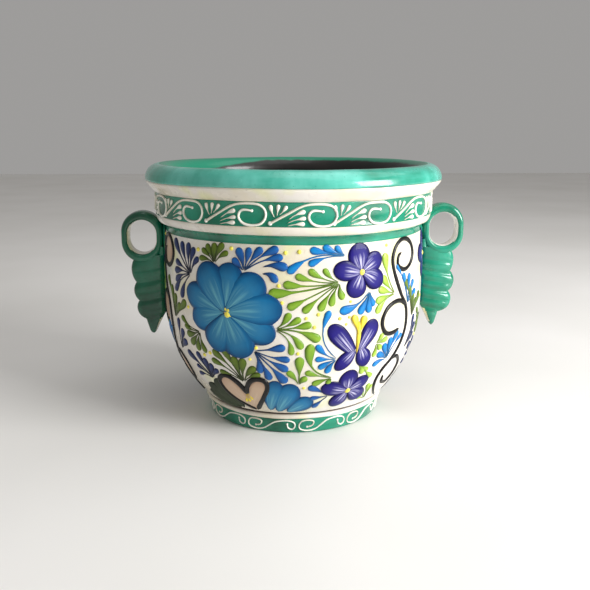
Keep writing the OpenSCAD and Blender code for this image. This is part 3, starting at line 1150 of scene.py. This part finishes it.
@dataclass
class Scrollwork:
    """White slip on the collar and on the foot; sway is how far single collar scrolls sit from even spacing."""

    collar: Band = field(default_factory=lambda: Band.round_node("collar_wall"))
    foot: Band = field(default_factory=lambda: Band(91 * MM, 93.5 * MM, 0.0, 16 * MM))
    collar_count: int = 15
    collar_first: float = 10.5
    foot_count: int = 11
    foot_first: float = -14.0
    sway: tuple[Pair, ...] = ((1, -1.4), (12, -1.0), (13, -2.2), (14, -1.0))

    def build(self) -> None:
        """Makes both bands of scrolls."""
        shape = bmesh.new()
        curl = Line(((-46, -7.5), (-39, -3.5), (-30, 1.5), (-22, 6), (-14, 8.8), (-4, 9.6), (6, 8.6), (11.5, 4.5),
                (12.3, -2),
                     (8, -7.8), (0, -9.5), (-8, -8), (-12.3, -3.2), (-11.5, 1.8), (-7.5, 4),
                     (0, 3.2)), 2.3, (1.0, 0.7), 1.2)
        drops = (
            Stroke((-42, -2), (-45.5, 8.6), 3.4, 0.1), Stroke((-40, -1), (-38.5, 9), 3.2), Stroke((-38, 0),
            (-31.5, 8), 3.2, -0.08),
            Stroke((-30, -4), (-15.5, 3.2), 4, 0.1), Stroke((-31, -7),
            (-15, -2.6), 3.6, 0.08), Stroke((-31, -9.4), (-16, -7.6), 3.8, 0.06),
        )
        for k in range(self.collar_count):
            even = self.collar_first + 360 / self.collar_count * k
            spin = math.radians(even + dict(self.sway).get(k, 0.0))
            curl.press(shape, self.collar, spin)
            dots(shape, self.collar, spin, ((-46, -7.4, 1.9), (0, 3.2, 1.4)))
            for drop in drops:
                drop.press(shape, self.collar, spin)
        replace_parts(finish_piece("collar_scrolls", shape, [Enamel.IVORY]), "collar_scrollwork")

        shape = bmesh.new()
        wave = Line(((-16, -1.5), (-11, 0), (-9.5, 4), (-14, 5.8), (-21, 5.2), (-24.3, 1), (-23, -3.5),
                (-16, -5.4), (-8, -4), (-2, 0),
                     (4, 4), (12, 5.8), (19, 5.6), (23.6, 3.2), (24, -1), (21.2, -3.6), (17.5, -2),
                     (16.5, 2)), 1.5, (0.9, 0.9), 1.0, 3)
        for k in range(self.foot_count):
            spin = math.radians(self.foot_first + 360 / self.foot_count * k)
            wave.press(shape, self.foot, spin)
            dots(shape, self.foot, spin, ((-16, -1.5, 1.1), (16.5, 2, 1.1)))
        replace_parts(finish_piece("foot_scrolls", shape, [Enamel.IVORY]), "foot_scrollwork")


# ---- Turned clay -----------------------------------------------------------------------------------


@dataclass(frozen=True)
class Ring:
    """One turned ring of the planter.

    Its outline is radius and height in millimetres, anticlockwise. Faces that look inwards and lie within split_r
    take the inside finish.
    """

    name: str
    node: str
    outline: Sequence[Pair]
    outside: object
    inside: object
    split_r: float

    def build(self) -> None:
        """Spins the outline into clay and paints its outside and inside."""
        shape = bmesh.new()
        verts = [shape.verts.new((r * MM, 0, z * MM)) for r, z in self.outline]
        edges = [shape.edges.new((a, b)) for a, b in zip(verts, verts[1:] + verts[:1])]
        bmesh.ops.spin(
            shape, geom=verts + edges, cent=(0, 0, 0), axis=(0, 0, 1), angle=2 * math.pi, steps=240, use_merge=True
        )
        bmesh.ops.recalc_face_normals(shape, faces=shape.faces[:])
        for face in shape.faces:
            middle = face.calc_center_median()
            out = Vector((middle.x, middle.y, 0)).normalized()
            flat = math.hypot(middle.x, middle.y) < self.split_r * MM
            face.material_index = 1 if flat and face.normal.dot(out) < 0.5 else 0
        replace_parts(finish_piece(self.name, shape, [self.outside, self.inside]), self.node)


def arc(centre: Pair, radius: float, start: float, end: float, count: int) -> list[Pair]:
    """Points along an arc, in millimetres and degrees.

    Args:
        centre: radius and height of its centre.
        radius: its radius.
        start: where it begins, anticlockwise from outwards.
        end: where it ends.
        count: how many spans it has.

    Returns:
        The points, both ends among them.
    """
    turns = [math.radians(start + (end - start) * k / count) for k in range(count + 1)]
    return [(centre[0] + radius * math.cos(t), centre[1] + radius * math.sin(t)) for t in turns]


@dataclass
class TurnedClay:
    """The rings from the foot to the rim."""

    wall: Belly = field(default_factory=Belly)
    thick: float = 9.0
    lowest_rise: float = -119
    rise: float = 189.5
    spans: int = 46

    def belly(self) -> list[Pair]:
        """Draws the belly's outline.

        Returns:
            Radius and height of its points in millimetres, up the outside and down the inside.
        """
        rises = [self.lowest_rise + self.rise * k / self.spans for k in range(self.spans + 1)]
        outer = [tuple(v / MM for v in self.wall.face(y * MM)[:2]) for y in rises]
        outer = [p for p in outer if 21 < p[1] < 195.6]
        inner = [(r - self.thick, z) for r, z in reversed(outer)]
        return [(85.6, 16), (92, 16), (92, 20.8), *outer, (133, 195.8), (124, 195.8), *inner, (85.6, 20)]

    def build(self) -> None:
        """Makes every ring."""
        rings = (
            Ring("foot_band", "foot_ring", [
                (80, 0.1), (89.6, 0), (90.8, 0.9), (91.3, 2.4), (93.2, 14.2), (93.2, 15.4), (92.4, 16), (80, 16),
            ], GREEN, SHADED_CLAY, 90.2),
            Ring("foot_edge", "foot_bead", [
                (91.9, 16.1), *arc((93.4, 18.5), 2.6, -68, 68, 10), (91.9, 20.9),
            ], CREAM, CREAM, 0.0),
            Ring("painted_belly", "belly_wall", self.belly(), CREAM, SHADED_CLAY, 126.2),
            Ring("cove_band", "shoulder_cove", [
                (124, 195.8), (133, 195.8), (132.7, 196.6), (133.1, 199.2), (134.4, 201.8), (136.4, 203.8),
                (138.2, 204.8), (129.5, 204.8),
            ], GREEN, SHADED_CLAY, 130),
            Ring("white_moulding", "collar_moulding", [
                (129.5, 204.8), (138, 204.7), (139.6, 205.4), (141, 207.2), (142, 209.4), (142.6, 211.6),
                (142.5, 212.8), (133.5, 212.8),
            ], CREAM, SHADED_CLAY, 134),
            Ring("collar_band", "collar_wall", [
                (133.5, 212.8), (142.4, 212.8), (142.1, 213.8), (142.3, 223), (142.2, 233.6), (142.5, 234.6),
                (133.5, 234.6),
            ], GREEN, SHADED_CLAY, 134),
            Ring("white_flare", "rim_flare", [
                (133.5, 234.6), (142.4, 234.6), (143.4, 235), (146.2, 238), (149.2, 241.4), (151.2, 244.2),
                (151.9, 246.8), (123.6, 246.8),
            ], CREAM, LIP_LIGHT_AND_SHADE, 135),
            # The rolled rim takes the lighter copy of the green glaze, which is painted light.
            Ring("rolled_rim", "rim_roll", [
                (123.6, 246.8), (151.6, 246.8), *arc((137.8, 247.4), 14.4, -3, 183, 28),
            ], LIT_RIM_GREEN, LIP_LIGHT_AND_SHADE, 137.9),
        )
        for ring in rings:
            ring.build()
        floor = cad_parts["floor_slab"].data.materials
        floor.clear()
        floor.append(PAINTS.get(SHADED_CLAY))


# ---- Handles ---------------------------------------------------------------------------------------


def sleeve(around: int, length: int, bend: Callable[[float, float], Vector]) -> bmesh.types.BMesh:
    """A closed tube.

    Args:
        around: faces round it.
        length: faces along it.
        bend: gives a point's place from its turn round the tube in radians and its run along it, 0 to 1.

    Returns:
        The tube, welded along its seam and at its ends.
    """
    shape = bmesh.new()
    bmesh.ops.create_grid(shape, x_segments=around, y_segments=length, size=0.5)
    for vert in shape.verts:
        vert.co = bend((vert.co.x + 0.5) * 2 * math.pi, vert.co.y + 0.5)
    bmesh.ops.remove_doubles(shape, verts=shape.verts[:], dist=2e-6)
    bmesh.ops.recalc_face_normals(shape, faces=shape.faces[:])
    return shape


def boxy(turn: float, power: float = 0.55) -> Pair:
    """A point on a soft-cornered square from -1 to 1, at a turn in radians."""
    c, s = math.cos(turn), math.sin(turn)
    return math.copysign(abs(c) ** power, c), math.copysign(abs(s) ** power, s)


def oval_reach(turn: float, width: float, height: float) -> float:
    """How far an upright oval with straight sides reaches from its middle.

    Args:
        turn: the direction, in radians from outwards.
        width: the oval's width.
        height: the oval's height.

    Returns:
        The distance, in the same unit.
    """
    half, rise = width / 2, (height - width) / 2
    c, s = abs(math.cos(turn)), abs(math.sin(turn))
    if half * s <= rise * c:
        return half / c
    return rise * s + math.sqrt(half * half - rise * rise * c * c)


@dataclass
class Handle:
    """A loop with a scalloped tail, luted to one side: side is 1 on the right and -1 on the left."""

    side: int
    eye: Pair = (28.8, 34.6)
    cad_eye: Pair = (30, 36)
    strap: float = 7.2
    extra: float = 2.0
    depth: float = 22.0
    lobes: Sequence[tuple[float, float, float]] = ((-9.2, -35, 22.4), (-3.4, -57, 14.8), (-4.6, -76, 13.2))
    tip: Pair = (-8.6, -105.5)
    presses: Pair = (0.1, 0.03)
    joint_x: float = -19.0
    glaze: object = GREEN

    def __post_init__(self) -> None:
        """Finds the eye's centre from the loop's box."""
        self.word = "right" if self.side > 0 else "left"
        low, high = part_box(f"{self.word}_handle_loop")
        outer = max(abs(low.x), abs(high.x)) / MM
        self.eye_x = outer - self.cad_eye[0] / 2 - self.strap
        self.eye_z = high.z / MM - self.cad_eye[1] / 2 - self.strap - self.extra

    def spot(self, out: float, deep: float, up: float) -> Vector:
        """A point from the eye's centre: outwards, towards the back, and up, in millimetres."""
        return Vector((self.side * (self.eye_x + out), deep, self.eye_z + up)) * MM

    def loop(self) -> None:
        """The strap bent into an eye, green outside and cream in the eye."""
        width, height = self.eye
        wide = self.cad_eye[0] + 2 * self.strap
        tall = self.cad_eye[1] + 2 * (self.strap + self.extra)

        def bend(turn: float, run: float) -> Vector:
            """Bends the tube to the strap.

            Args:
                turn: the point's turn round the strap, in radians.
                run: its way round the eye, 0 to 1.

            Returns:
                The point in the row frame.
            """
            round_eye = run * 2 * math.pi
            across, deep = boxy(turn, 0.62)
            inner = oval_reach(round_eye, width, height)
            outer = oval_reach(round_eye, wide, tall)
            reach = inner + (outer - inner) * (0.5 + 0.5 * across)
            taper = 1 - 0.1 * max(0.0, across)
            return self.spot(reach * math.cos(round_eye), deep * self.depth / 2 * taper, reach * math.sin(round_eye))

        shape = sleeve(28, 72, bend)
        for face in shape.faces:
            middle = face.calc_center_median()
            out, up = abs(middle.x) / MM - self.eye_x, middle.z / MM - self.eye_z
            inner = oval_reach(math.atan2(up, out), width, height)
            deep = abs(middle.y) / MM
            face.material_index = 1 if math.hypot(out, up) < inner + 0.9 and deep < self.depth / 2 - 1.2 else 0
        piece = finish_piece(f"{self.word}_loop", shape, [self.glaze, CREAM])
        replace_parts(piece, f"{self.word}_handle_loop")

    def edge(self, up: float) -> float:
        """How far out the tail's scalloped edge is.

        Args:
            up: the height over the eye's centre, in millimetres.

        Returns:
            The distance from the eye's centre, in millimetres.
        """
        if up > -19:
            return -15.5
        reach = [x + math.sqrt(max(0.0, r * r - (up - z) ** 2)) for x, z, r in self.lobes if abs(up - z) < r]
        tip = 0.5 + (up + 86) * 0.3
        return max([min(tip, 4.0), *reach]) if up > -100 else tip

    def tail(self) -> None:
        """The tail: pressed rolls under a scalloped edge, ending in a point, with a bare patch by the wall."""
        top, low = -10.0, self.tip[1]
        grooves, minor = (-46.5, -66.0, -87.0), (-34.0, -57.0, -76.5)
        deep_press, light_press = self.presses

        def bend(turn: float, run: float) -> Vector:
            """Bends the tube to the tail.

            Args:
                turn: the point's turn round the tail, in radians.
                run: its way from top to tip, 0 to 1.

            Returns:
                The point in the row frame.
            """
            up = top + (low - top) * run
            far = self.edge(up)
            hollow = max(0.0, min(1.0, (-80 - up) / (-80 - low)))
            near = self.joint_x - 4.5 + (self.tip[0] - 1.5 - self.joint_x + 4.5) * hollow ** 0.8
            round_off = math.sqrt(max(0.0, 1 - max(0.0, 1 - (up - low) / 5) ** 2))
            across, deep = boxy(turn, 0.5)
            mid, half = (near + far) / 2, (far - near) / 2 * round_off
            slant = up + 3.5 * across
            press = sum(deep_press * math.exp(-(((slant - g) / 2.6) ** 2)) for g in grooves)
            press += sum(light_press * math.exp(-(((slant - g) / 2.2) ** 2)) for g in minor)
            thick = 10.2 * (1 - press) * (1 - 0.25 * max(0.0, across)) * round_off * (1 - 0.3 * hollow)
            return self.spot(mid + half * across, deep * thick, up)

        shape = sleeve(32, 110, bend)
        for face in shape.faces:
            out = self.side * face.calc_center_median().x / MM - self.eye_x
            up = face.calc_center_median().z / MM - self.eye_z
            face.material_index = 1 if face.normal.x * self.side < -0.55 and -101 < up < -86 and out < -9 else 0
        piece = finish_piece(f"{self.word}_tail", shape, [self.glaze, CREAM])
        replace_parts(piece, f"{self.word}_handle_tail")

    def luting(self) -> None:
        """The smeared strip of slip between the handle and the wall."""
        low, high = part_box(f"{self.word}_handle_luting")
        wall = Belly()

        def bend(turn: float, run: float) -> Vector:
            """Bends the tube to the strip of slip.

            Args:
                turn: the point's turn round the strip, in radians.
                run: its way from bottom to top, 0 to 1.

            Returns:
                The point in the row frame.
            """
            z = low.z + (high.z - low.z) * run
            pinch = min(1.0, 7 * run, 9 * (1 - run)) ** 0.5
            across, deep = boxy(turn, 0.8)
            lump = noise.noise(Vector((math.copysign(3, deep), self.side * 3, z * 95)))
            proud = 0.5 + 0.5 * across
            y = deep * (12.2 - 2.4 * proud + 1.5 * lump) * pinch * MM
            skin = math.sqrt(max(0.0, wall.wide_r**2 - y * y)) - 1.2 * MM
            x = skin + (1.4 + (3.6 + 0.8 * lump) * pinch * (1 - 0.75 * abs(deep) ** 2)) * proud * MM
            return Vector((self.side * x, y, z))

        piece = finish_piece(f"{self.word}_luting", sleeve(20, 60, bend), [self.glaze])
        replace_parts(piece, f"{self.word}_handle_luting")

    def build(self) -> None:
        """Makes the whole handle."""
        self.loop()
        self.tail()
        self.luting()


# ---- Studio ------------------------------------------------------------------------------------------


@dataclass
class Studio:
    """A pale floor, soft lights from the right and a camera a little over the rim's height."""

    distance: float = 0.774
    camera_z: float = 0.2987
    dip: float = 12.94
    side_step: float = -2.0
    lens: float = 44.8

    def floor(self) -> None:
        """The pale floor."""
        mix = Recipe("pale_floor", 0.6)
        colour = mix.steps(mix.grain(3, 2), [(0.3, srgb(232, 230, 226)), (0.7, srgb(240, 238, 235))])
        mesh = bpy.data.meshes.new("floor")
        shape = bmesh.new()
        bmesh.ops.create_grid(shape, x_segments=1, y_segments=1, size=4)
        shape.to_mesh(mesh)
        shape.free()
        mesh.materials.append(mix.done(colour))
        floor = bpy.data.objects.new("floor", mesh)
        bpy.context.scene.collection.objects.link(floor)

    def lamp(self, name: str, place: Sequence[float], size: float, power: float) -> None:
        """A square soft light that faces the planter.

        Args:
            name: its name.
            place: where it hangs, in metres.
            size: the length of its side.
            power: its watts.
        """
        data = bpy.data.lights.new(name, "AREA")
        data.size, data.energy = size, power
        lamp = bpy.data.objects.new(name, data)
        lamp.location = place
        aim = Vector((0, 0, 0.13)) - Vector(place)
        lamp.rotation_euler = aim.to_track_quat("-Z", "Y").to_euler()
        bpy.context.scene.collection.objects.link(lamp)

    def camera(self) -> None:
        """The camera, turned a touch to the left of the front."""
        data = bpy.data.cameras.new("camera")
        data.lens, data.sensor_width = self.lens, 36.0
        data.shift_x, data.shift_y = 0.0032, -0.0007
        camera = bpy.data.objects.new("camera", data)
        turn = math.radians(self.side_step)
        camera.location = (math.sin(turn) * self.distance, -math.cos(turn) * self.distance, self.camera_z)
        camera.rotation_euler = (math.radians(90 - self.dip), 0, turn)
        bpy.context.scene.collection.objects.link(camera)
        bpy.context.scene.camera = camera

    def build(self) -> None:
        """Sets the floor, the lights and the camera."""
        self.floor()
        self.lamp("key", (1.55, -0.9, 0.7), 0.9, 50)
        self.lamp("top", (0.5, -0.1, 1.6), 1.6, 10)
        world = bpy.data.worlds.new("studio")
        world.use_nodes = True
        world.node_tree.nodes["Background"].inputs[0].default_value = (1.0, 0.98, 0.96, 1.0)
        world.node_tree.nodes["Background"].inputs[1].default_value = 0.34
        bpy.context.scene.world = world
        bpy.context.scene.view_settings.view_transform = "Standard"
        self.camera()


def main() -> None:
    """Builds the planter from the foot up, then the studio."""
    logging.basicConfig(level=logging.INFO, format="%(message)s")
    noise.seed_set(WARP_DRAW)
    TurnedClay().build()
    # The left handle takes the darker copy of the green glaze as painted shade.
    Handle(-1, glaze=SHADED_GREEN).build()
    lobes = ((-8.2, -34.5, 22), (0.2, -56.5, 14.8), (-1.0, -77, 13.6))
    Handle(1, lobes=lobes, tip=(-7.6, -106.5), presses=(0.22, 0.1)).build()
    Scrollwork().build()
    Painting().build()
    Studio().build()


if __name__ == "__main__":
    main()
    bpy.context.view_layer.update()
